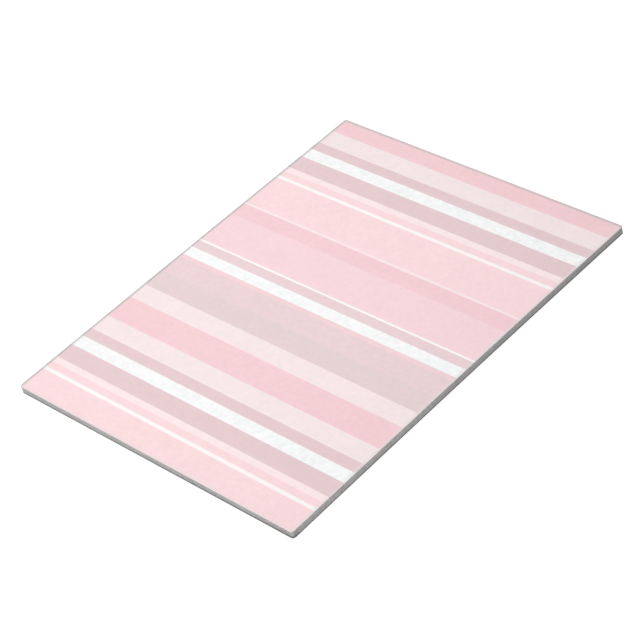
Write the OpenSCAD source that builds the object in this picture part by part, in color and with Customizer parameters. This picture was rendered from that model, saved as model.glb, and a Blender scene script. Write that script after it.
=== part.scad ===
// Notepad: a block of sheets with a striped print, gummed along one short
// edge to a board back. Sizes are in millimetres.
// The pad lies on the XY plane, centred on the origin. +Y points to the
// bound edge, and +Z points up out of the printed face.

/* [Sheets] */

// Width of a sheet, along the stripes
sheet_width = 215.9; // [90:0.1:330]

// Length of a sheet, from the bound edge to the loose edge
sheet_length = 279.4; // [120:0.1:450]

// Number of sheets in the block
sheet_count = 40; // [10:1:80]

// Thickness of one sheet
sheet_thickness = 0.1; // [0.06:0.01:0.25]

// Furthest that the blade leaves a sheet's edge inside the outline
trim_setback = 0.06; // [0:0.01:0.12]

/* [Corners] */

// Radius that rounds the four corners, through sheets, board and gum
corner_radius = 2; // [1:0.1:12]

/* [Backing board] */

// Thickness of the board under the sheets
board_thickness = 0.75; // [0.3:0.05:2.5]

/* [Gum binding] */

// Thickness of the gum film at the top and bottom of the spine
gum_rim = 0.15; // [0.15:0.01:0.6]

// How much thicker the film is halfway up the spine
gum_crown = 0.15; // [0.05:0.01:0.4]

/* [Hidden] */

$fn = 96;

// The stack, from the table up
block_thickness = sheet_count * sheet_thickness;
pad_thickness = board_thickness + block_thickness;

// The outline, seen from above. The gum film lies beyond the spine plane.
gum_thickness = gum_rim + gum_crown;
pad_length = sheet_length + gum_thickness;
spine_y = pad_length / 2 - gum_thickness;

// The film's outer face is an arc across the spine, through both rims and
// the crown
crown_radius = (pow(pad_thickness / 2, 2) + pow(gum_crown, 2))
    / (2 * gum_crown);

// The setbacks are even steps. Each sheet is a few steps on from the one
// above it, going round, so that neighbours never line up. The top sheet and
// the board have none.
setback_steps = 11;
setback_stride = 4;

// Colours of the print and of the bare materials
PAPER = "#f2f2f2";
BOARD = "#8f8f8c";
GUM = "#e9e4da";
WHITE = "#ffffff";
BLUSH = "#fcecee";
LIGHT_PINK = "#fce0e4";
SOFT_MAUVE = "#f9dde2";
ROSE = "#f8d5da";
DUSTY_ROSE = "#ecd2d5";
DUSTY_MAUVE = "#efd8da";

// One repeat of the stripes, from the bound edge towards the loose edge:
// the width of each, and its colour
STRIPES = [
    [18.6, ROSE],
    [12.9, BLUSH],
    [7.2, DUSTY_ROSE],
    [8.6, WHITE],
    [11.8, DUSTY_ROSE],
    [4.4, BLUSH],
    [4.7, LIGHT_PINK],
    [2.5, WHITE],
    [26.9, LIGHT_PINK],
    [1.7, BLUSH],
    [10.8, ROSE],
    [26.9, SOFT_MAUVE],
    [1.5, WHITE],
    [6.5, DUSTY_MAUVE],
    [7.7, WHITE],
    [3.3, ROSE],
    [14.4, DUSTY_MAUVE],
    [14, DUSTY_ROSE],
    [12.6, BLUSH],
];

// The bound edge cuts this much off the first stripe
first_stripe_cut = 5.8;

// Distance of stripe n's start from the bound edge. The list repeats.
function stripe_start(n) =
    n == 0 ? -first_stripe_cut : stripe_start(n - 1) + stripe_width(n - 1);
function stripe_width(n) = STRIPES[n % len(STRIPES)][0];
function stripe_colour(n) = STRIPES[n % len(STRIPES)][1];

// Number of stripes that start on the sheet
function stripes_from(n) =
    stripe_start(n) < sheet_length ? 1 + stripes_from(n + 1) : 0;
stripe_count = stripes_from(0);

// Setback of a sheet's three loose edges, by its place from the top
function setback(from_top) =
    trim_setback * (from_top * setback_stride % setback_steps)
    / (setback_steps - 1);

// Height of a sheet's underside, by its place from the top
function sheet_bottom(from_top) =
    pad_thickness - (from_top + 1) * sheet_thickness;

// The pad's rounded outline, drawn in from its edge by a margin. The corner
// arcs keep their centres, so all outlines are concentric there.
module pad_outline(margin = 0) {
    corner_x = sheet_width / 2 - corner_radius;
    corner_y = pad_length / 2 - corner_radius;
    square([2 * corner_x, pad_length - 2 * margin], center = true);
    square([sheet_width - 2 * margin, 2 * corner_y], center = true);
    for (x = [-corner_x, corner_x], y = [-corner_y, corner_y])
        translate([x, y])
        circle(r = corner_radius - margin);
}

// A strip right across the pad, between two distances from the bound edge
module strip(from, to) {
    translate([-sheet_width / 2, spine_y - to])
    square([sheet_width, to - from]);
}

// A sheet's outline: the pad's, cut off at the spine plane
module sheet_outline(margin = 0) {
    intersection() {
        pad_outline(margin);
        strip(0, sheet_length);
    }
}

// A plain sheet, by its place from the top
module sheet(from_top) {
    translate([0, 0, sheet_bottom(from_top)])
    linear_extrude(sheet_thickness)
    sheet_outline(setback(from_top));
}

// The top sheet, as its printed stripes side by side
module top_sheet() {
    for (n = [0 : stripe_count - 1])
        color(stripe_colour(n))
        translate([0, 0, sheet_bottom(0)])
        linear_extrude(sheet_thickness)
        intersection() {
            sheet_outline();
            strip(stripe_start(n), stripe_start(n + 1));
        }
}

// All the sheets. They lie face to face, so the block is one solid.
module page_block() {
    top_sheet();
    color(PAPER)
    for (from_top = [1 : sheet_count - 1])
        sheet(from_top);
}

// The board, cut flush with the outline
module backing_board() {
    color(BOARD)
    linear_extrude(board_thickness)
    sheet_outline();
}

// The film brushed on the spine: the part of the outline beyond the spine
// plane, under a face that bulges slightly across the thickness
module gum_binding() {
    color(GUM)
    intersection() {
        linear_extrude(pad_thickness)
        intersection() {
            pad_outline();
            strip(-gum_thickness, 0);
        }
        translate([0, pad_length / 2 - crown_radius, pad_thickness / 2])
        rotate([0, 90, 0])
        cylinder(r = crown_radius, h = sheet_width, center = true, $fn = 720);
    }
}

page_block();
backing_board();
gum_binding();
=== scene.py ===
"""Notepad: a block of striped sheets, gummed along one short edge to a board back.

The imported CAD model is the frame. Each operator makes one piece over the CAD
solid that it replaces, in metres and in the CAD's own axes: the pad lies on
the XY plane, the bound edge faces +Y and the printed face looks up.
"""

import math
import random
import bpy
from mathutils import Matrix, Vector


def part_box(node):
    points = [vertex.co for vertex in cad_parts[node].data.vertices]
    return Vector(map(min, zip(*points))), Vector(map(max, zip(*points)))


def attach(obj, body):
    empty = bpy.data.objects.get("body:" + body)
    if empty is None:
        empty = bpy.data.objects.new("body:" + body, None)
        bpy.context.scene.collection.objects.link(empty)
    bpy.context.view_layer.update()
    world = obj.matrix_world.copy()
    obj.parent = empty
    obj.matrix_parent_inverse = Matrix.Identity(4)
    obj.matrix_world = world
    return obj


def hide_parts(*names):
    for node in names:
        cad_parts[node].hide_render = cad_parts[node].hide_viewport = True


bl_info = {
    "name": "Notepad",
    "version": (1, 0, 0),
    "blender": (4, 5, 0),
    "location": "3D View > Sidebar > Notepad",
    "description": "Builds a gummed notepad with a striped print over its CAD frame",
    "category": "Object",
}

import bpy
from mathutils import Vector, noise

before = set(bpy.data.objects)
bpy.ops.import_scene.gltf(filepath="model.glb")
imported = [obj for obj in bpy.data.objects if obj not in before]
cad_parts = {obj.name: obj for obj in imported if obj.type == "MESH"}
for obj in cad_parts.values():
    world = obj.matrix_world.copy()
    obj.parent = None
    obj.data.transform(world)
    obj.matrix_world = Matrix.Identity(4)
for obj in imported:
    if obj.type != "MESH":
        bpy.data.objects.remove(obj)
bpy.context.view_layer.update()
BLOCK_LOW, BLOCK_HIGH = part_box("page_block")
BOARD_LOW, BOARD_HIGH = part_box("backing_board")
GUM_LOW, GUM_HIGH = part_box("gum_binding")

MM = 0.001

# One repeat of the print, from the bound edge towards the loose edge: the
# width of each stripe in millimetres, and its ink
STRIPES = (
    (18.6, "rose"),
    (12.9, "blush"),
    (7.2, "dusty_rose"),
    (8.6, "white"),
    (11.8, "dusty_rose"),
    (4.4, "shell"),
    (4.7, "light_pink"),
    (2.5, "warm_white"),
    (26.9, "light_pink"),
    (1.7, "shell"),
    (10.8, "rose"),
    (26.9, "soft_mauve"),
    (1.5, "warm_white"),
    (6.5, "dusty_mauve"),
    (7.7, "white"),
    (3.3, "mauve_rose"),
    (14.4, "dusty_mauve"),
    (14.0, "ash_rose"),
    (12.6, "blush"),
)

# The bound edge cuts this much off the first stripe, in millimetres
FIRST_STRIPE_CUT = 5.8

# Mesh density
CORNER_STEPS = 8
COLUMNS = 24
ROW_SPACING = 6 * MM
FILM_COLUMNS = 240
FILM_ROWS = 14

# Shares of the rolled rim's width at which the mesh has a ring
RIM_SHARES = (1.0, 0.8, 0.6, 0.42, 0.26, 0.13, 0.04)

# Mottle of the top sheet, darkest and brightest. It shows more where there is
# no ink.
PAPER_MOTTLE = (0.943, 1.055)
INK_MOTTLE = (0.975, 1.019)

# How much of the print is rubbed off along each side, and how grey the painted
# shade makes the left and bound sides, as shares of the most
WORN_SIDES = {"left": 1, "right": 0.95, "loose": 0.55, "bound": 0.9}
SHADED_SIDES = {"left": 1, "bound": 0.72}

# Share of the shade's reach over which a side's painted shade is full
FULL_SHADE = 0.4

# The sheets are cut back in even steps, and neighbours never line up
SETBACK_STEPS = 11
SETBACK_STRIDE = 4

# Share of a sheet's thickness that the gap takes above it, and again below it
GAP_SHARE = 0.1

# Inset of the block's foot, where it meets the board
BLOCK_FOOT_INSET = 0.2 * MM

# Tones of the cut edges: the range that each sheet's is drawn from, the
# block's at its top and the painted shade that darkens it down to the board, and the
# painted shade at the back of a gap
TONE_SEED = 11
SHEET_TONES = (0.93, 1.05)
TOP_TONE, SHADE_LOSS = 1.035, 0.07
GAP_SHADE = 0.6

# Painted shade on the long sides: their tone at the bound edge, what it gains
# over the whole length, and the most that it comes to
SIDE_TONE, SIDE_GAIN, SIDE_MOST = 0.935, 0.14, 1.045

# Painted shade on the loose edge: that of every sheet at the right end, that of
# the lowest sheets, and what theirs gains at the right end
END_SHADE, LOW_SHADE, LOW_SHADE_GAIN = 0.13, 0.14, 0.4

# Height over the board up to which the lowest sheets get painted shade
LOW_SHADE_REACH = 1.3 * MM

# Profile of the board's edge, from its face outwards: how far in and how far
# down in millimetres, and how dark, partly its own colour and partly painted contact
# shadow. The spine has a share of the first.
BOARD_EDGE = ((0.28, 0, 0), (0.12, 0, 0.3), (0.04, 0.008, 0.8), (0, 0.035, 1))
SPINE_SHARE = 0.25

# How much of that dark shows. The right side has the first share by the loose
# edge, and gains the second up to the bound edge. The others have the first on
# the left, and gain the second towards the right. The gains are painted contact shadow.
RIGHT_EDGE_DARK, RIGHT_SHADOW_GAIN = 0.38, 0.46
OTHER_EDGE_DARK, OTHER_SHADOW_GAIN = 0.75, 0.22

# Tones of the board's dark edge, partly painted contact shadow, and of its
# flecks, and how much of the flecks shows
EDGE_DARK_TONE = 0.4
FLECK_TONE, FLECK_SHARE = 1.5, 0.35

# Tone of the gum where the board is behind it
GUM_OVER_BOARD_TONE = 0.66

# Unevenness of the gum film: how far it goes in and out in millimetres, how
# close its waves are along and up the spine, and the slice of the noise
FILM_WAVE = 0.03
WAVES_ALONG, WAVES_UP, WAVE_SLICE = 55, 160, 3.7

# The noise lies almost wholly between these
NOISE_LOW, NOISE_HIGH = 0.3, 0.7

# Noise that is stretched along no axis
EVEN = (1, 1, 1)

# The mix node's sockets for colours: the two that it mixes, and the result
MIX_FIRST, MIX_SECOND, MIX_RESULT = 6, 7, 2

WHITE = (1, 1, 1, 1)

# Floor: how far it reaches in metres, the grey that it sends back to the pad,
# and the grey and the glow that the camera sees
FLOOR_REACH = 6.0
FLOOR_BOUNCE = 0.36
FLOOR_GREY, FLOOR_GLOW = 0.15, 0.93

# Strength of the dome light at the horizon and overhead
SKY_LOW, SKY_HIGH = 0.12, 0.48

# Softboxes: name, place and side in metres, and power in watts
SOFTBOXES = (
    ("key_softbox", (-0.14, -0.05, 0.75), 0.5, 3.58),
    ("low_softbox", (1.0, -1.75, 0.3), 0.4, 19),
    ("back_softbox", (-0.9, 1.7, 0.18), 0.4, 10),
)

# Camera: place in metres, turn in degrees about X, Y and Z, focal length and
# sensor width in millimetres, and the nearest and furthest seen in metres
CAMERA_PLACE = (0.82115, -0.63893, 0.8549)
CAMERA_TURN = (49.417, 11.3349, 42.6706)
CAMERA_LENS, CAMERA_SENSOR = 132.784, 36
CAMERA_NEAR, CAMERA_FAR = 0.05, 30


def srgb(code):
    """Linear RGBA of a colour written as six hex digits."""
    values = []
    for at in (0, 2, 4):
        value = int(code[at : at + 2], 16) / 255
        values.append(
            value / 12.92 if value <= 0.04045 else ((value + 0.055) / 1.055) ** 2.4
        )
    return (*values, 1.0)


def length_property(name, description, default):
    """A length in metres, shown in the scene's unit."""
    return bpy.props.FloatProperty(
        name=name,
        description=description,
        default=default,
        min=0.0,
        precision=5,
        subtype="DISTANCE",
        unit="LENGTH",
    )


def colour_property(name, description, code):
    """An opaque colour, given as six hex digits."""
    return bpy.props.FloatVectorProperty(
        name=name,
        description=description,
        default=srgb(code),
        min=0.0,
        max=1.0,
        size=4,
        subtype="COLOR",
    )


class NotepadSizes(bpy.types.PropertyGroup):
    """Sizes of the pad"""

    sheet_width: length_property(
        "Sheet Width", "Width of a sheet, along the stripes", BOARD_HIGH.x - BOARD_LOW.x
    )
    sheet_length: length_property(
        "Sheet Length",
        "Length of a sheet, from the bound edge to the loose edge",
        BOARD_HIGH.y - BOARD_LOW.y,
    )
    sheet_thickness: length_property(
        "Sheet Thickness", "Thickness of one sheet", 0.1 * MM
    )
    block_thickness: length_property(
        "Block Thickness",
        "Thickness of all the sheets together",
        BLOCK_HIGH.z - BLOCK_LOW.z,
    )
    board_thickness: length_property(
        "Board Thickness", "Thickness of the board back", BOARD_HIGH.z - BOARD_LOW.z
    )
    corner_radius: length_property(
        "Corner Radius", "Radius of the four rounded corners", 2 * MM
    )
    gum_thickness: length_property(
        "Gum Thickness",
        "Thickness of the gum film halfway up the spine",
        GUM_HIGH.y - GUM_LOW.y,
    )
    gum_crown: length_property(
        "Gum Crown",
        "How much thinner the film is at its top and bottom",
        0.15 * MM,
    )
    trim_setback: length_property(
        "Trim Setback", "Furthest that the blade leaves a sheet back", 0.06 * MM
    )
    sheet_gap_depth: length_property(
        "Sheet Gap Depth", "Depth of the fine gap between two sheets", 0.04 * MM
    )
    rim_width: length_property(
        "Rim Width", "Width of the rim that the blade rolls down", 1.3 * MM
    )
    rim_drop: length_property(
        "Rim Drop", "How far the blade rolls the top sheet's rim down", 0.06 * MM
    )
    wear_reach: length_property(
        "Wear Reach", "How far in from its sides the print is rubbed", 3.1 * MM
    )
    # painted shade: how far in the left and bound sides are greyed
    shade_reach: length_property(
        "Soil Reach", "How far in the left and bound sides have greyed", 2.2 * MM
    )
    left_arch: length_property(
        "Left Arch", "How far the left side bows up halfway along it", 0.32 * MM
    )
    right_arch: length_property(
        "Right Arch", "How far the right side bows up halfway along it", 0.85 * MM
    )


class NotepadColours(bpy.types.PropertyGroup):
    """Colours of the print and of the bare materials"""

    white: colour_property("White", "White stripes", "fafbfb")
    warm_white: colour_property("Warm White", "Narrow white lines", "fffaf9")
    blush: colour_property("Blush", "Palest pink stripes", "f9e9ea")
    shell: colour_property("Shell", "Narrow pale stripes, a little warmer", "ffebec")
    light_pink: colour_property("Light Pink", "Light pink stripes", "fddee1")
    soft_mauve: colour_property("Soft Mauve", "Wide mauve-pink stripe", "f9dadf")
    rose: colour_property("Rose", "Rose stripes", "f7d2d6")
    mauve_rose: colour_property("Mauve Rose", "Line beside a mauve stripe", "f4d7da")
    dusty_rose: colour_property("Dusty Rose", "Greyed rose stripes", "e9cfd2")
    dusty_mauve: colour_property("Dusty Mauve", "Greyed mauve stripes", "edd5d8")
    ash_rose: colour_property("Ash Rose", "Stripe between mauve and grey", "e8d4d5")
    bare_paper: colour_property("Bare Paper", "Paper where the ink is worn", "e3e1e1")
    cut_paper: colour_property("Cut Paper", "Cut edges of the sheets", "d3d2d1")
    greyboard: colour_property("Greyboard", "Face of the board back", "8f8f8c")
    gum: colour_property("Gum", "Film of gum on the spine", "e9e4da")


def spine_y(sizes):
    """Y of the plane where the sheets meet the gum film."""
    return (sizes.sheet_length - sizes.gum_thickness) / 2


def loose_y(sizes):
    """Y of the loose edge, opposite the bound one."""
    return spine_y(sizes) - sizes.sheet_length


def half_length(sizes):
    """Half the pad's length, with the gum film."""
    return (sizes.sheet_length + sizes.gum_thickness) / 2


def pad_top(sizes):
    """Height of the printed face over the table."""
    return sizes.board_thickness + sizes.block_thickness


def corner_centre(sizes):
    """Centre of the corner arc at the bound edge's right-hand end."""
    return (
        sizes.sheet_width / 2 - sizes.corner_radius,
        half_length(sizes) - sizes.corner_radius,
    )


def stripe_bands(sizes):
    """(start, end, ink) of each stripe, as distances from the bound edge."""
    bands = []
    start = -FIRST_STRIPE_CUT * MM
    while start < sizes.sheet_length:
        width, ink = STRIPES[len(bands) % len(STRIPES)]
        bands.append((start, start + width * MM, ink))
        start += width * MM
    return bands


def straight_rows(sizes):
    """Y of each mesh row between the corner arcs, with one at each stripe's edge."""
    end = corner_centre(sizes)[1]
    edges = [spine_y(sizes) - start for start, _, _ in stripe_bands(sizes)]
    marks = [-end, *sorted(y for y in edges if -end < y < end), end]
    rows = []
    for low, high in zip(marks, marks[1:]):
        parts = max(1, round((high - low) / ROW_SPACING))
        rows += [low + (high - low) * part / parts for part in range(parts)]
    return [*rows, end]


def outline_rows(sizes, inset, spine_inset):
    """(half width, y) of each mesh row of an outline, from the loose edge up.

    The corner arcs keep their centres, and all outlines have the same rows, so
    that any two can be joined.
    """
    centre_x, centre_y = corner_centre(sizes)
    radius = sizes.corner_radius - inset
    loose_turns = [math.pi / 2 * step / CORNER_STEPS for step in range(CORNER_STEPS)]
    rows = [
        (centre_x + radius * math.sin(turn), -centre_y - radius * math.cos(turn))
        for turn in loose_turns
    ]
    rows += [(centre_x + radius, y) for y in straight_rows(sizes)]
    last_turn = math.asin((spine_y(sizes) - spine_inset - centre_y) / radius)
    for step in range(1, CORNER_STEPS + 1):
        turn = last_turn * step / CORNER_STEPS
        rows.append(
            (centre_x + radius * math.cos(turn), centre_y + radius * math.sin(turn))
        )
    return rows


def arch_lift(sizes, x, y):
    """Height that the pad's bow adds at a place on it."""
    across = 0.5 + x / sizes.sheet_width
    arch = sizes.left_arch + (sizes.right_arch - sizes.left_arch) * across
    return arch * (1 - (y / half_length(sizes)) ** 2)


def rim_insets(sizes):
    """Insets of the rings across the rolled rim, from its inner line outwards."""
    return [share * sizes.rim_width for share in RIM_SHARES]


def rolled_height(sizes, height, inset):
    """Height of a point in the block, after the blade has rolled the rim down."""
    if inset >= sizes.rim_width or height <= sizes.board_thickness:
        return height
    drop = sizes.rim_drop * (1 - inset / sizes.rim_width) ** 2
    return height - drop * (height - sizes.board_thickness) / sizes.block_thickness


def slab_mesh(name, sizes, rings, attribute):
    """A closed slab with rounded corners, joined through rings from the top down.

    A ring is (inset, spine inset, height, value). The first and the last are
    filled in, and the value goes into a point attribute.
    """
    row_count = len(outline_rows(sizes, 0, 0))
    right, top = COLUMNS, row_count - 1
    # the grid points round the outline, in order, and then all of them
    loop = [(0, column) for column in range(right)]
    loop += [(row, right) for row in range(top)]
    loop += [(top, column) for column in range(right, 0, -1)]
    loop += [(row, 0) for row in range(top, 0, -1)]
    whole = [(row, column) for row in range(row_count) for column in range(right + 1)]

    points, values, numbered = [], [], []
    for at, (inset, spine_inset, height, value) in enumerate(rings):
        rows = outline_rows(sizes, inset, spine_inset)
        numbers = {}
        for row, column in whole if at in (0, len(rings) - 1) else loop:
            half_width, y = rows[row]
            x = half_width * (2 * column / right - 1)
            numbers[row, column] = len(points)
            lift = arch_lift(sizes, x, y)
            points.append((x, y, rolled_height(sizes, height, inset) + lift))
            values.append(value)
        numbered.append(numbers)

    faces = []
    first, last = numbered[0], numbered[-1]
    for row in range(top):
        for column in range(right):
            corners = ((row, column), (row, column + 1))
            corners += ((row + 1, column + 1), (row + 1, column))
            faces.append([first[corner] for corner in corners])
            faces.append([last[corner] for corner in reversed(corners)])
    for upper, lower in zip(numbered, numbered[1:]):
        for here, on in zip(loop, loop[1:] + loop[:1]):
            faces.append([upper[here], lower[here], lower[on], upper[on]])

    mesh = bpy.data.meshes.new(name)
    mesh.from_pydata(points, [], faces)
    layer = mesh.attributes.new(attribute, "FLOAT", "POINT")
    layer.data.foreach_set("value", values)
    return mesh


def soften(mesh, degrees):
    """Smooth shading, except over edges sharper than an angle."""
    mesh.shade_smooth()
    mesh.set_sharp_from_angle(angle=math.radians(degrees))


def place_piece(name, mesh, material, node):
    """Puts a mesh into the scene as the piece that stands for a CAD node."""
    if mesh.validate(verbose=False):
        raise RuntimeError(f"{name} has faces that Blender had to mend")
    mesh.materials.append(material)
    piece = bpy.data.objects.new(name, mesh)
    bpy.context.scene.collection.objects.link(piece)
    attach(piece, "root")
    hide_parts(node)


def start_material(name):
    """A new material, with its node tree and its shader."""
    material = bpy.data.materials.new(name)
    material.use_nodes = True
    tree = material.node_tree
    return material, tree, tree.nodes["Principled BSDF"]


def set_inputs(tree, node, inputs):
    """Links or sets a node's inputs, by name or by number."""
    for key, value in inputs.items():
        if isinstance(value, bpy.types.NodeSocket):
            tree.links.new(value, node.inputs[key])
        else:
            node.inputs[key].default_value = value


def add_node(tree, kind, inputs, **settings):
    """A node of a kind, with its settings and inputs."""
    node = tree.nodes.new(kind)
    for key, value in settings.items():
        setattr(node, key, value)
    set_inputs(tree, node, inputs)
    return node


def point_value(tree, name):
    """Output of a mesh attribute that holds one number."""
    return add_node(
        tree, "ShaderNodeAttribute", {}, attribute_name=name, attribute_type="GEOMETRY"
    ).outputs["Fac"]


def grain(tree, stretch, scale, low, high, detail=4.0, distortion=0.0):
    """Noise over the object in metres, spread between two values.

    A stretch of less than 1 draws the noise out along that axis, and a larger
    scale makes it finer.
    """
    place = add_node(tree, "ShaderNodeTexCoord", {}).outputs["Object"]
    mapped = add_node(tree, "ShaderNodeMapping", {"Vector": place, "Scale": stretch})
    texture = add_node(
        tree,
        "ShaderNodeTexNoise",
        {
            "Vector": mapped.outputs["Vector"],
            "Scale": scale,
            "Detail": detail,
            "Distortion": distortion,
        },
    )
    spread = add_node(
        tree,
        "ShaderNodeMapRange",
        {
            "Value": texture.outputs["Fac"],
            "From Min": NOISE_LOW,
            "From Max": NOISE_HIGH,
            "To Min": low,
            "To Max": high,
        },
    )
    return spread.outputs["Result"]


def shaded(tree, colour, amount):
    """A colour times a number."""
    return add_node(
        tree,
        "ShaderNodeVectorMath",
        {0: colour, "Scale": amount},
        operation="SCALE",
    ).outputs["Vector"]


def product(tree, first, second):
    """The product of two numbers."""
    return add_node(
        tree, "ShaderNodeMath", {0: first, 1: second}, operation="MULTIPLY"
    ).outputs["Value"]


def blended(tree, amount, first, second):
    """A mix of two colours. The amount is the second one's share."""
    return add_node(
        tree,
        "ShaderNodeMix",
        {"Factor": amount, MIX_FIRST: first, MIX_SECOND: second},
        data_type="RGBA",
    ).outputs[MIX_RESULT]


def bumped(tree, height, strength, distance):
    """Normal of a fine relief."""
    return add_node(
        tree,
        "ShaderNodeBump",
        {"Height": height, "Strength": strength, "Distance": distance},
    ).outputs["Normal"]


def between(tree, share, first, second):
    """The number at a share of the way from one number to another."""
    return add_node(
        tree, "ShaderNodeMapRange", {"Value": share, "To Min": first, "To Max": second}
    ).outputs["Result"]


def larger(tree, first, second):
    """The larger of two numbers."""
    return add_node(
        tree, "ShaderNodeMath", {0: first, 1: second}, operation="MAXIMUM"
    ).outputs["Value"]


def near_sides(tree, sizes, sides, reach, full):
    """Rises from 0, at a reach in from some sides of a sheet, to each one's share.

    A side's share is reached at a distance in from it, full.
    """
    place = add_node(tree, "ShaderNodeTexCoord", {}).outputs["Object"]
    axes = add_node(tree, "ShaderNodeSeparateXYZ", {"Vector": place}).outputs
    half_width = sizes.sheet_width / 2
    lines = {
        "left": ("X", -half_width, 1),
        "right": ("X", half_width, -1),
        "loose": ("Y", loose_y(sizes), 1),
        "bound": ("Y", spine_y(sizes), -1),
    }
    most = 0.0
    for side, share in sides.items():
        axis, line, inward = lines[side]
        rise = add_node(
            tree,
            "ShaderNodeMapRange",
            {
                "Value": axes[axis],
                "From Min": line + inward * reach,
                "From Max": line + inward * full,
                "To Min": 0.0,
                "To Max": share,
            },
        )
        most = larger(tree, most, rise.outputs["Result"])
    return most


def printed_paper(sizes, colours):
    """Matt printed paper, rubbed thin along its rim, with painted shade greying two
    sides.
    """
    material, tree, shader = start_material("printed_paper")
    ink = add_node(tree, "ShaderNodeVertexColor", {}, layer_name="print")
    darkest, brightest = (
        between(tree, ink.outputs["Alpha"], on_paper, on_ink)
        for on_paper, on_ink in zip(PAPER_MOTTLE, INK_MOTTLE)
    )
    mottle = grain(tree, EVEN, 330, darkest, brightest, detail=3)
    cloud = grain(tree, EVEN, 48, 0.99, 1.01, detail=2)
    fibre = grain(tree, (1, 0.6, 1), 1600, 0.985, 1.01, detail=6, distortion=1.2)
    tone = product(tree, product(tree, mottle, cloud), fibre)
    inked = shaded(tree, ink.outputs["Color"], tone)

    # rubbed towards the sides, and bare where the blade has cut
    rubbed = grain(tree, EVEN, 500, 0.56, 0.72)
    rim = near_sides(tree, sizes, WORN_SIDES, sizes.wear_reach, 0)
    bare = larger(tree, product(tree, rim, rubbed), point_value(tree, "cut_edge"))
    worn = blended(tree, bare, inked, tuple(colours.bare_paper))

    # painted shade, greying the left and bound sides
    shade_noise = grain(tree, EVEN, 350, 0.27, 0.36)
    fully_grey = FULL_SHADE * sizes.shade_reach
    grey = near_sides(tree, sizes, SHADED_SIDES, sizes.shade_reach, fully_grey)
    painted_shade = product(tree, grey, shade_noise)
    unshaded = add_node(tree, "ShaderNodeMath", {0: 1.0, 1: painted_shade}, operation="SUBTRACT")

    relief = grain(tree, (1, 0.7, 1), 2200, 0, 1, detail=5, distortion=0.8)
    set_inputs(
        tree,
        shader,
        {
            "Base Color": shaded(tree, worn, unshaded.outputs["Value"]),
            "Roughness": grain(tree, EVEN, 900, 0.76, 0.9),
            "Specular IOR Level": 0.1,
            "Normal": bumped(tree, relief, 0.35, 0.02 * MM),
        },
    )
    return material


def cut_paper(colours):
    """Cut edges of many sheets, streaked by the blade across the block."""
    material, tree, shader = start_material("cut_paper")
    fine = grain(tree, (1, 1, 0.03), 900, 0.9, 1.08, detail=5)
    broad = grain(tree, (1, 1, 0.02), 45, 0.96, 1.03, detail=2)
    # each sheet's tone, times painted shade towards the board, the bound edge and the
    # loose edge's right end
    layer = point_value(tree, "sheet_tone")
    tone = product(tree, product(tree, fine, broad), layer)
    relief = grain(tree, (1, 1, 0.05), 1300, 0, 1, detail=6)
    set_inputs(
        tree,
        shader,
        {
            "Base Color": shaded(tree, tuple(colours.cut_paper)[:3], tone),
            "Roughness": grain(tree, (1, 1, 0.2), 800, 0.72, 0.9),
            "Specular IOR Level": 0.2,
            "Normal": bumped(tree, relief, 0.5, 0.03 * MM),
        },
    )
    return material


def grey_chipboard(colours):
    """Recycled board with flecks and fibres, dark along its edges: partly their own
    colour, partly painted contact shadow.
    """
    material, tree, shader = start_material("grey_chipboard")
    cloud = grain(tree, EVEN, 60, 0.93, 1.05, detail=3)
    fibre = grain(tree, (1, 0.35, 1), 900, 0.86, 1.1, detail=7, distortion=2.0)
    # the board is plain where this is under 0
    fleck = grain(tree, EVEN, 420, -1.2, 1.6, detail=2, distortion=0.6)
    face = shaded(tree, tuple(colours.greyboard)[:3], product(tree, cloud, fibre))
    # the edge's own darker colour together with painted contact shadow
    darker = shaded(tree, face, EDGE_DARK_TONE)
    lighter = shaded(tree, face, FLECK_TONE)
    flecked = blended(tree, product(tree, fleck, FLECK_SHARE), face, lighter)
    edge_dark = point_value(tree, "edge_crush")
    relief = grain(tree, (1, 0.6, 1), 1200, 0, 1, detail=6, distortion=1.0)
    set_inputs(
        tree,
        shader,
        {
            "Base Color": blended(tree, edge_dark, flecked, darker),
            "Roughness": grain(tree, EVEN, 700, 0.82, 0.95),
            "Specular IOR Level": 0.2,
            "Normal": bumped(tree, relief, 0.6, 0.05 * MM),
        },
    )
    return material


def milky_gum(colours):
    """Thin film of padding gum, brushed along the spine."""
    material, tree, shader = start_material("milky_gum")
    cloud = grain(tree, (1, 1, 2.5), 170, 0.88, 1.05, detail=4, distortion=0.6)
    brushed = grain(tree, (0.05, 1, 1), 2000, 0, 1, detail=5)
    sheets = grain(tree, (0.004, 1, 1), 7000, 0.9, 1.05, detail=2)
    over_board = point_value(tree, "board_behind")
    film = shaded(tree, tuple(colours.gum)[:3], product(tree, cloud, sheets))
    greyed = shaded(tree, film, GUM_OVER_BOARD_TONE)
    set_inputs(
        tree,
        shader,
        {
            "Base Color": blended(tree, over_board, film, greyed),
            "Roughness": grain(tree, (0.1, 1, 1), 1500, 0.26, 0.44),
            "Specular IOR Level": 0.5,
            "Coat Weight": 0.25,
            "Coat Roughness": 0.25,
            "Normal": bumped(tree, brushed, 0.7, 0.05 * MM),
        },
    )
    return material


def setback(sizes, from_top):
    """Setback of a sheet's three loose edges, by its place from the top."""
    step = from_top * SETBACK_STRIDE % SETBACK_STEPS
    return sizes.trim_setback * step / (SETBACK_STEPS - 1)


def print_stripes(mesh, sizes, colours):
    """Gives each face of the top sheet the ink of its stripe.

    The alpha is 0 on bare white paper, and 1 where there is ink.
    """
    bands = stripe_bands(sizes)
    layer = mesh.color_attributes.new("print", "FLOAT_COLOR", "CORNER")
    for face in mesh.polygons:
        from_spine = spine_y(sizes) - face.center.y
        ink = next(ink for start, end, ink in bands if start <= from_spine < end)
        for corner in face.loop_indices:
            layer.data[corner].color = (*getattr(colours, ink)[:3], ink != "white")


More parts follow.
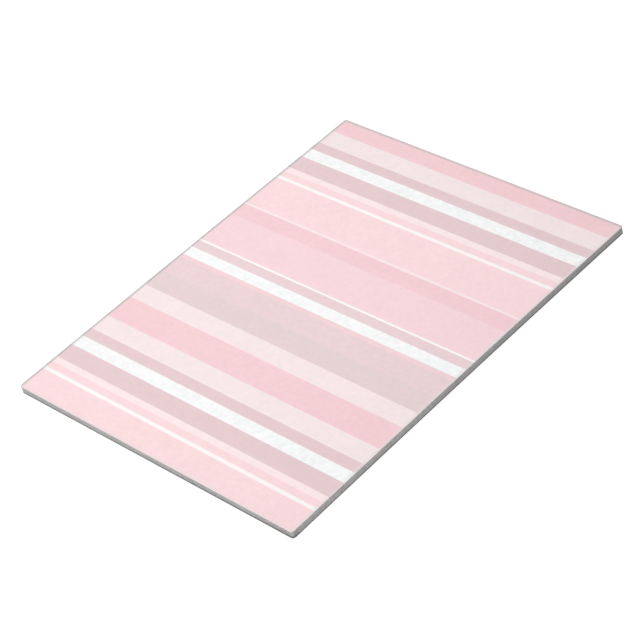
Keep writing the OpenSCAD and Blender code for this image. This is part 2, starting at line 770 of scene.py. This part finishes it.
class NOTEPAD_OT_top_sheet(bpy.types.Operator):
    """Makes the printed top sheet, with its rim rolled down by the blade"""

    bl_idname = "notepad.top_sheet"
    bl_label = "Top Sheet"

    def execute(self, context):
        sizes = context.scene.notepad_sizes
        colours = context.scene.notepad_colours
        top = pad_top(sizes)
        under = top - sizes.sheet_thickness
        rim = rim_insets(sizes)
        rings = [(inset, inset, top, 0) for inset in rim]
        rings += [(0, 0, top, 1), (0, 0, under, 1)]
        rings += [(inset, inset, under, 0) for inset in reversed(rim)]
        mesh = slab_mesh("top_sheet", sizes, rings, "cut_edge")
        print_stripes(mesh, sizes, colours)
        soften(mesh, degrees=35)
        place_piece(
            "top_sheet",
            mesh,
            printed_paper(sizes, colours),
            "page_block",
        )
        return {"FINISHED"}


def shade_cut_edges(mesh, sizes):
    """Tones the cut edges by their place, with painted shade.

    The long sides go from dark at the bound edge to light. The loose edge goes
    dark towards its right end, and the lowest sheets most of all. All of it is painted
    shade.
    """
    layer = mesh.attributes["sheet_tone"].data
    for number, point in enumerate(mesh.vertices):
        x, y, z = point.co
        if y - loose_y(sizes) > sizes.corner_radius:
            from_bound = (spine_y(sizes) - y) / sizes.sheet_length
            # painted shade along the long sides, darker towards the bound edge
            layer[number].value *= min(SIDE_MOST, SIDE_TONE + SIDE_GAIN * from_bound)
            continue
        # painted shade on the loose edge, towards its right end and the board
        above_board = z - arch_lift(sizes, x, y) - sizes.board_thickness
        low = max(0.0, 1 - above_board / LOW_SHADE_REACH)
        right = (0.5 + x / sizes.sheet_width) ** 3
        low_shade = low * (LOW_SHADE + LOW_SHADE_GAIN * right)
        layer[number].value *= (1 - END_SHADE * right) * (1 - low_shade)


class NOTEPAD_OT_sheet_stack(bpy.types.Operator):
    """Makes the sheets under the top one, each with its own cut edge"""

    bl_idname = "notepad.sheet_stack"
    bl_label = "Sheet Stack"

    def execute(self, context):
        sizes = context.scene.notepad_sizes
        colours = context.scene.notepad_colours
        tones = random.Random(TONE_SEED)
        top = pad_top(sizes) - sizes.sheet_thickness
        count = round(sizes.block_thickness / sizes.sheet_thickness)
        gap = sizes.sheet_thickness * GAP_SHARE
        rings = [(inset, inset, top, 1) for inset in rim_insets(sizes)]
        for from_top in range(1, count):
            back = setback(sizes, from_top)
            high = sizes.board_thickness + (count - from_top) * sizes.sheet_thickness
            low = high - sizes.sheet_thickness
            tone = tones.uniform(*SHEET_TONES)
            # painted shade: the sheets get darker down towards the board
            tone *= TOP_TONE - SHADE_LOSS * from_top / count
            rings.append((back, 0, high - gap, tone))
            rings.append((back, 0, low + gap, tone))
            if from_top < count - 1:
                # painted shade at the back of each gap between sheets
                rings.append((back + sizes.sheet_gap_depth, 0, low, GAP_SHADE))
        rings.append((BLOCK_FOOT_INSET, 0, sizes.board_thickness, 1))
        mesh = slab_mesh("sheet_stack", sizes, rings, "sheet_tone")
        shade_cut_edges(mesh, sizes)
        place_piece(
            "sheet_stack", mesh, cut_paper(colours), "page_block"
        )
        return {"FINISHED"}


def shadow_board_edges(mesh, sizes):
    """Tones the board's edges by their place, with painted contact shadow.

    The right side goes darker towards the bound edge, and the others towards
    the right, as painted contact shadow.
    """
    layer = mesh.attributes["edge_crush"].data
    for number, point in enumerate(mesh.vertices):
        right = 0.5 + point.co.x / sizes.sheet_width
        bound = 0.5 + point.co.y / sizes.sheet_length
        from_right = sizes.sheet_width * (1 - right)
        # painted contact shadow, deepest near the bound end of the right side
        if from_right < sizes.sheet_length * bound:
            layer[number].value *= RIGHT_EDGE_DARK + RIGHT_SHADOW_GAIN * bound
        else:
            layer[number].value *= OTHER_EDGE_DARK + OTHER_SHADOW_GAIN * right**2


class NOTEPAD_OT_greyboard_back(bpy.types.Operator):
    """Makes the board back, with edges pressed down a little and painted contact shadow
    along them
    """

    bl_idname = "notepad.greyboard_back"
    bl_label = "Board Back"

    def execute(self, context):
        sizes = context.scene.notepad_sizes
        colours = context.scene.notepad_colours
        high = sizes.board_thickness
        lower = [
            (inset * MM, inset * SPINE_SHARE * MM, down * MM, dark)
            for inset, down, dark in BOARD_EDGE
        ]
        rings = [
            (inset, spine, high - height, dark) for inset, spine, height, dark in lower
        ]
        rings += reversed(lower)
        mesh = slab_mesh("greyboard_back", sizes, rings, "edge_crush")
        shadow_board_edges(mesh, sizes)
        soften(mesh, degrees=40)
        place_piece(
            "greyboard_back",
            mesh,
            grey_chipboard(colours),
            "backing_board",
        )
        return {"FINISHED"}


def film_mesh(sizes):
    """The film: flat against the spine, bulging and a little uneven outside."""
    centre_x, centre_y = corner_centre(sizes)
    spine = spine_y(sizes)
    radius = sizes.corner_radius
    half_width = centre_x + math.sqrt(radius**2 - (spine - centre_y) ** 2)
    top = pad_top(sizes) - sizes.rim_drop
    thickest = sizes.gum_thickness - FILM_WAVE * MM
    points, behind = [], []
    inner, outer = {}, {}
    for column in range(FILM_COLUMNS + 1):
        # columns crowd towards the ends, where the film runs out
        turn = math.pi * column / FILM_COLUMNS
        x = -half_width * math.cos(turn)
        reach = max(0.0, abs(x) - centre_x)
        limit = centre_y + math.sqrt(max(0.0, radius**2 - reach**2)) - spine
        lift = arch_lift(sizes, x, spine)
        for row in range(FILM_ROWS + 1):
            share = row / FILM_ROWS
            z = top * share
            bulge = thickest - sizes.gum_crown * (2 * share - 1) ** 2
            place = Vector((x * WAVES_ALONG, z * WAVES_UP, WAVE_SLICE))
            wave = noise.noise(place) * FILM_WAVE * MM
            depth = min(limit, bulge + wave)
            over_board = 1.0 if z < sizes.board_thickness else 0.0
            inner[column, row] = len(points)
            points.append((x, spine, z + lift))
            behind.append(over_board)
            if column in (0, FILM_COLUMNS):
                outer[column, row] = inner[column, row]
                continue
            outer[column, row] = len(points)
            points.append((x, spine + depth, z + lift))
            behind.append(over_board)
    faces = []
    for column in range(FILM_COLUMNS):
        for row in range(FILM_ROWS):
            square = ((column, row), (column, row + 1))
            square += ((column + 1, row + 1), (column + 1, row))
            faces.append([outer[corner] for corner in square])
            faces.append([inner[corner] for corner in reversed(square)])
        # the film's lower and upper edges, with one corner fewer at its ends
        here, on = column, column + 1
        for row, order in ((0, 1), (FILM_ROWS, -1)):
            strip = [inner[here, row], outer[here, row], outer[on, row], inner[on, row]]
            strip = list(dict.fromkeys(strip))
            faces.append(strip[::order])
    mesh = bpy.data.meshes.new("gum_film")
    mesh.from_pydata(points, [], faces)
    layer = mesh.attributes.new("board_behind", "FLOAT", "POINT")
    layer.data.foreach_set("value", behind)
    return mesh


class NOTEPAD_OT_gum_film(bpy.types.Operator):
    """Makes the film of gum that holds the sheets and the board together"""

    bl_idname = "notepad.gum_film"
    bl_label = "Gum Film"

    def execute(self, context):
        sizes = context.scene.notepad_sizes
        colours = context.scene.notepad_colours
        mesh = film_mesh(sizes)
        soften(mesh, degrees=50)
        place_piece(
            "gum_film", mesh, milky_gum(colours), "gum_binding"
        )
        return {"FINISHED"}


def plain_grey(level):
    """Opaque RGBA of a grey."""
    return (level, level, level, 1)


def seen_directly(tree):
    """1 for a ray of the camera, or one that a glossy or clear surface sends on."""
    rays = add_node(tree, "ShaderNodeLightPath", {}).outputs
    camera_or_glossy = larger(tree, rays["Is Camera Ray"], rays["Is Glossy Ray"])
    return larger(tree, camera_or_glossy, rays["Is Transmission Ray"])


def add_floor():
    """A pale floor. It is white to the camera and still takes the pad's shadow."""
    mesh = bpy.data.meshes.new("studio_floor")
    signs = ((-1, -1), (1, -1), (1, 1), (-1, 1))
    corners = [(FLOOR_REACH * x, FLOOR_REACH * y, 0) for x, y in signs]
    mesh.from_pydata(corners, [], [(0, 1, 2, 3)])
    material = bpy.data.materials.new("studio_floor")
    material.use_nodes = True
    tree = material.node_tree
    tree.nodes.clear()
    seen = seen_directly(tree)
    bounce = add_node(
        tree, "ShaderNodeBsdfDiffuse", {"Color": plain_grey(FLOOR_BOUNCE)}
    )
    shadow = add_node(tree, "ShaderNodeBsdfDiffuse", {"Color": plain_grey(FLOOR_GREY)})
    white = add_node(
        tree, "ShaderNodeEmission", {"Color": WHITE, "Strength": FLOOR_GLOW}
    )
    shown = add_node(
        tree,
        "ShaderNodeAddShader",
        {0: shadow.outputs["BSDF"], 1: white.outputs["Emission"]},
    )
    floor = add_node(
        tree,
        "ShaderNodeMixShader",
        {0: seen, 1: bounce.outputs["BSDF"], 2: shown.outputs["Shader"]},
    )
    add_node(
        tree, "ShaderNodeOutputMaterial", {"Surface": floor.outputs["Shader"]}
    )
    mesh.materials.append(material)
    plane = bpy.data.objects.new("studio_floor", mesh)
    bpy.context.scene.collection.objects.link(plane)


def add_sky():
    """Soft dome light, dimmer at the horizon, behind a white background."""
    world = bpy.data.worlds.new("studio_world")
    bpy.context.scene.world = world
    world.use_nodes = True
    tree = world.node_tree
    tree.nodes.clear()
    way = add_node(tree, "ShaderNodeTexCoord", {}).outputs["Generated"]
    height = add_node(tree, "ShaderNodeSeparateXYZ", {"Vector": way}).outputs["Z"]
    dome = between(tree, height, SKY_LOW, SKY_HIGH)
    light = add_node(tree, "ShaderNodeBackground", {"Color": WHITE, "Strength": dome})
    white = add_node(tree, "ShaderNodeBackground", {"Color": WHITE, "Strength": 1.0})
    sky = add_node(
        tree,
        "ShaderNodeMixShader",
        {
            0: seen_directly(tree),
            1: light.outputs["Background"],
            2: white.outputs["Background"],
        },
    )
    add_node(tree, "ShaderNodeOutputWorld", {"Surface": sky.outputs["Shader"]})


def add_softbox(name, place, side, power):
    """A square lamp that looks at the origin."""
    data = bpy.data.lights.new(name, "AREA")
    data.shape = "SQUARE"
    data.size = side
    data.energy = power
    lamp = bpy.data.objects.new(name, data)
    lamp.visible_camera = False
    lamp.location = place
    lamp.rotation_euler = (-Vector(place)).to_track_quat("-Z", "Y").to_euler()
    bpy.context.scene.collection.objects.link(lamp)


def add_camera():
    """The camera of the photograph."""
    data = bpy.data.cameras.new("photo_camera")
    data.sensor_width = CAMERA_SENSOR
    data.lens = CAMERA_LENS
    data.clip_start, data.clip_end = CAMERA_NEAR, CAMERA_FAR
    camera = bpy.data.objects.new("photo_camera", data)
    camera.location = CAMERA_PLACE
    camera.rotation_euler = [math.radians(angle) for angle in CAMERA_TURN]
    bpy.context.scene.collection.objects.link(camera)
    bpy.context.scene.camera = camera


class NOTEPAD_OT_studio(bpy.types.Operator):
    """Makes the floor, the light and the camera of the photograph"""

    bl_idname = "notepad.studio"
    bl_label = "Studio"

    def execute(self, context):
        context.scene.view_settings.view_transform = "Standard"
        add_floor()
        add_sky()
        for softbox in SOFTBOXES:
            add_softbox(*softbox)
        add_camera()
        return {"FINISHED"}


PIECE_OPERATORS = (
    NOTEPAD_OT_studio,
    NOTEPAD_OT_top_sheet,
    NOTEPAD_OT_sheet_stack,
    NOTEPAD_OT_greyboard_back,
    NOTEPAD_OT_gum_film,
)


class NOTEPAD_PT_sidebar(bpy.types.Panel):
    """Lists the pad's sizes, colours and pieces"""

    bl_idname = "NOTEPAD_PT_sidebar"
    bl_label = "Notepad"
    bl_space_type = "VIEW_3D"
    bl_region_type = "UI"
    bl_category = "Notepad"

    def draw(self, context):
        for group in (context.scene.notepad_sizes, context.scene.notepad_colours):
            box = self.layout.box()
            for key in group.__annotations__:
                box.prop(group, key)
        for operator in PIECE_OPERATORS:
            self.layout.operator(operator.bl_idname)


CLASSES = (NotepadSizes, NotepadColours, *PIECE_OPERATORS, NOTEPAD_PT_sidebar)


def register():
    for each in CLASSES:
        bpy.utils.register_class(each)
    bpy.types.Scene.notepad_sizes = bpy.props.PointerProperty(type=NotepadSizes)
    bpy.types.Scene.notepad_colours = bpy.props.PointerProperty(type=NotepadColours)


def unregister():
    del bpy.types.Scene.notepad_colours
    del bpy.types.Scene.notepad_sizes
    for each in reversed(CLASSES):
        bpy.utils.unregister_class(each)


def main():
    """Builds the whole scene."""
    register()
    bpy.ops.notepad.studio()
    bpy.ops.notepad.top_sheet()
    bpy.ops.notepad.sheet_stack()
    bpy.ops.notepad.greyboard_back()
    bpy.ops.notepad.gum_film()


if __name__ == "__main__":
    main()
